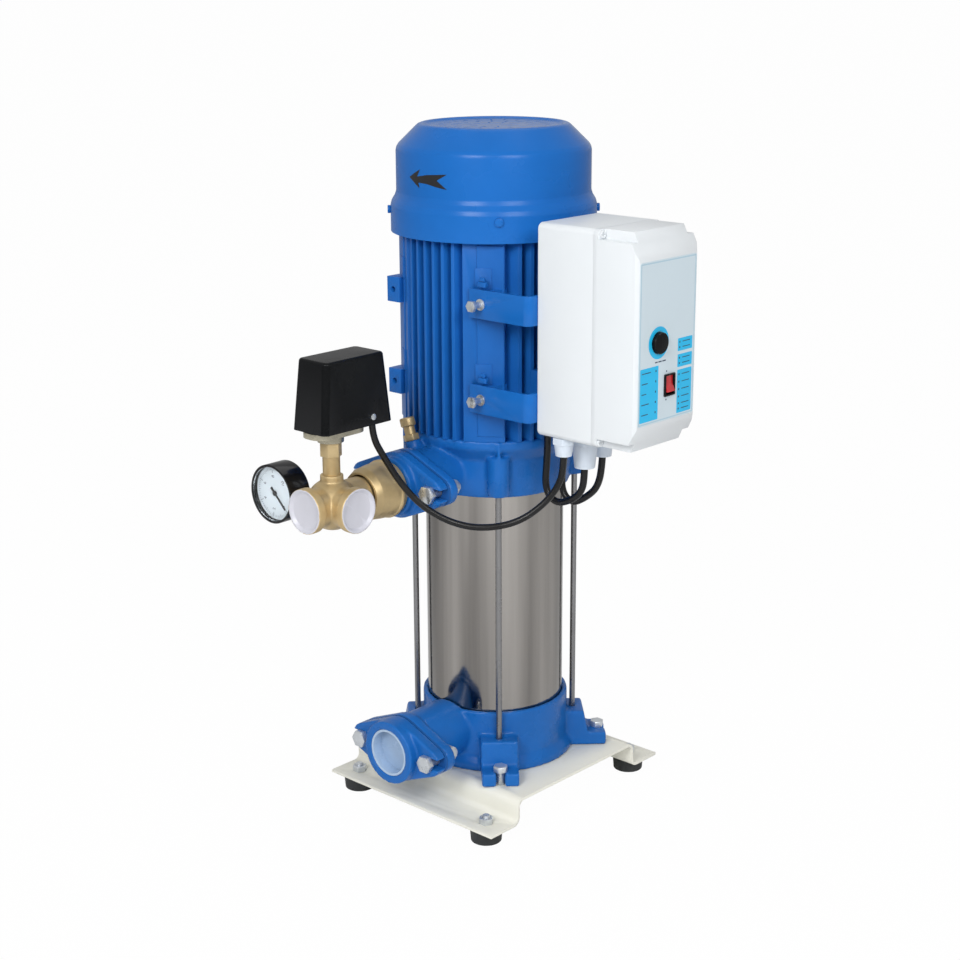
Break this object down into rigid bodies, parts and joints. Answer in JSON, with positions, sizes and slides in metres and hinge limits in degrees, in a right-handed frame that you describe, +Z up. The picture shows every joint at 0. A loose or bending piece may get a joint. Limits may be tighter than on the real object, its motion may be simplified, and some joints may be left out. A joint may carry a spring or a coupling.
{
  "type": "vertical multistage pump",
  "caption": "Vertical multistage pump set on a folded base with a fan-cooled motor, strapped control box, check valve, pressure switch and gauge.",
  "frame": {"origin": "on the shaft axis in the plane that the rubber feet stand on", "axes": "+Z up along the shaft, -Y towards the suction and discharge ports, +X towards the control box"},
  "size_m": [0.3594, 0.3966, 0.6991],
  "materials": {
    "ivory_paint": "semi-gloss ivory powder coat",
    "black_rubber": "matte rubber",
    "zinc_steel": "bright zinc plated",
    "blue_iron": "cast iron with satin blue paint",
    "blue_aluminium": "die-cast aluminium with satin blue paint",
    "blue_sheet": "pressed sheet with gloss blue paint",
    "stainless_sheet": "polished stainless sheet",
    "stainless_internal": "bright pressed stainless",
    "raw_brass": "as-cast and machined brass",
    "white_plug": "glossy white polyethylene",
    "gasket_fibre": "matte fibre gasket",
    "black_plastic": "fine-textured black plastic",
    "black_case": "gloss black enamel",
    "dial_white": "white enamelled dial",
    "needle_black": "black enamelled pointer",
    "lens_glass": "clear flat lens",
    "lamination_steel": "stacked laminations",
    "copper_winding": "varnished copper wire",
    "box_plastic": "satin light grey moulded plastic",
    "label_film": "printed polyester film",
    "rocker_red": "glossy translucent red",
    "gland_grey": "satin grey nylon",
    "cable_black": "matte cable sheath"
  },
  "bodies": {
    "pump": {"base_frame": "ivory_paint", "rubber_feet": "black_rubber", "foot_studs": "zinc_steel", "m8_nuts": "zinc_steel", "pump_foot_bolts": "zinc_steel", "suction_casing": "blue_iron", "suction_counter_flange": "blue_iron", "discharge_counter_flange": "blue_iron", "flange_gaskets": "gasket_fibre", "flange_bolts": "zinc_steel", "flange_nuts": "zinc_steel", "suction_plug": "white_plug", "outer_sleeve": "stainless_sheet", "sleeve_seals": "black_rubber", "tie_rods": "zinc_steel", "discharge_casing": "blue_iron", "air_vent_body": "raw_brass", "check_valve_body": "raw_brass", "check_valve_spring": "stainless_internal", "five_way_body": "raw_brass", "outlet_plugs": "white_plug", "switch_riser": "raw_brass", "switch_base": "raw_brass", "switch_cover": "black_plastic", "switch_cover_screw": "zinc_steel", "gauge_case": "black_case", "gauge_dial": "dial_white", "gauge_lens": "lens_glass", "motor_housing": "blue_aluminium", "stator_core": "lamination_steel", "stator_windings": "copper_winding", "motor_bearings": "stainless_internal", "motor_end_shield": "blue_aluminium", "fan_cover": "blue_sheet", "fan_cover_screws": "zinc_steel", "stage_bowls": "stainless_internal", "control_box_body": "box_plastic", "control_box_lid": "box_plastic", "lid_screws": "box_plastic", "front_label": "label_film", "rocker_bezel": "black_plastic", "cable_glands": "gland_grey", "run_capacitor": "box_plastic", "box_straps": "blue_sheet", "strap_screws": "zinc_steel", "switch_cable": "cable_black", "motor_lead": "cable_black", "auxiliary_lead": "cable_black"},
    "rotor": {"pump_shaft": "stainless_internal", "motor_shaft": "stainless_internal", "rotor_core": "lamination_steel", "impellers": "stainless_internal", "mechanical_seal": "black_rubber", "cooling_fan": "black_plastic"},
    "needle": {"gauge_needle": "needle_black"},
    "rocker": {"rocker": "rocker_red"},
    "button": {"reset_button": "black_plastic"},
    "valve_disc": {"check_valve_disc": "white_plug"},
    "vent_screw": {"air_vent_screw": "raw_brass"}
  },
  "joints": [
    {"name": "rotor_spin", "type": "hinge", "parent": "pump", "child": "rotor", "pos_m": [0, 0, 0.4], "axis": [0, 0, 1], "continuous": true},
    {"name": "needle_turn", "type": "hinge", "parent": "pump", "child": "needle", "pos_m": [-0.067, -0.24, 0.36], "axis": [0, 1, 0], "range_deg": [0, 270]},
    {"name": "rocker_tilt", "type": "hinge", "parent": "pump", "child": "rocker", "pos_m": [0.2355, -0.0256, 0.477], "axis": [0, 1, 0], "range_deg": [0, 24]},
    {"name": "reset_press", "type": "slide", "parent": "pump", "child": "button", "axis": [-1, 0, 0], "range_m": [0, 0.003], "stiffness_N_per_m": 150},
    {"name": "valve_lift", "type": "slide", "parent": "pump", "child": "valve_disc", "axis": [0, -1, 0], "range_m": [0, 0.006], "stiffness_N_per_m": 200, "deforming": ["check_valve_spring"]},
    {"name": "vent_turn", "type": "hinge", "parent": "pump", "child": "vent_screw", "pos_m": [-0.02445, -0.1, 0.40755], "axis": [-0.309, 0, 0.9511], "range_deg": [0, 360]}
  ]
}
